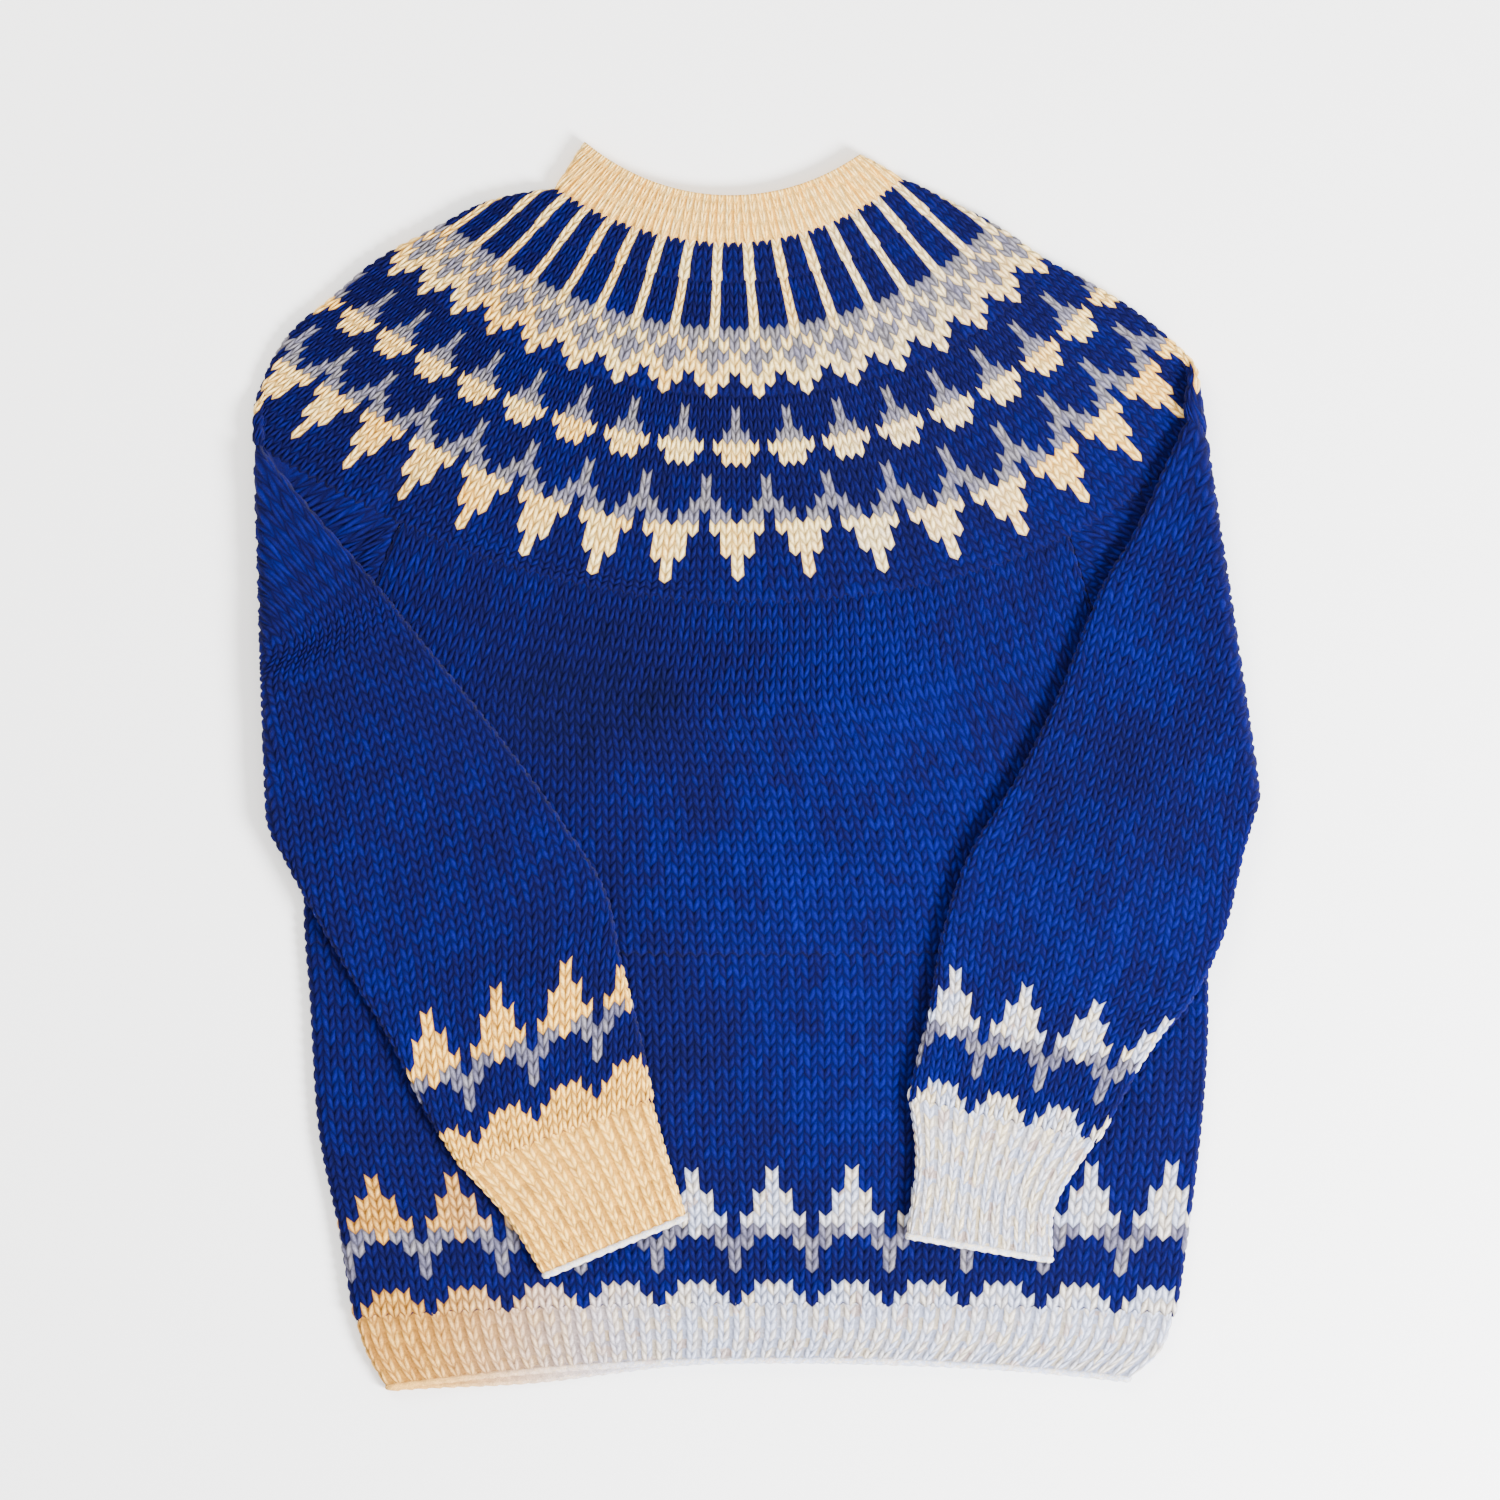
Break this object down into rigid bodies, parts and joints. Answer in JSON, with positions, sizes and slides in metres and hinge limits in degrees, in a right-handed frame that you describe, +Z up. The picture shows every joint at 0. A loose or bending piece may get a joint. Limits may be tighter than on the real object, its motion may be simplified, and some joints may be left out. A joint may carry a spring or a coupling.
{
  "type": "nordic yoke sweater",
  "caption": "Hand-knitted round-yoke pullover laid flat on its back, both sleeves folded over the front, with a patterned yoke, hem and cuffs.",
  "frame": {"origin": "on the surface that the pullover lies on, under the centre of its outline", "axes": "+Y from the hem towards the neck, +X across the body towards the wearer's left side (the right-hand side seen from above), +Z up out of the surface, through the back and then the front"},
  "size_m": [0.5554, 0.6867, 0.016],
  "materials": {
    "body_wool": "matte knitted wool, deep royal blue with darker flecks",
    "yoke_wool": "matte knitted wool, blue with cream and grey motifs",
    "rib_wool": "matte ribbed wool, flecked cream"
  },
  "bodies": {
    "root": {"body": "body_wool", "hem_rib": "rib_wool", "yoke": "yoke_wool", "neckband": "rib_wool", "sleeve_left": "body_wool", "cuff_left": "rib_wool", "sleeve_right": "body_wool", "cuff_right": "rib_wool"}
  },
  "joints": []
}
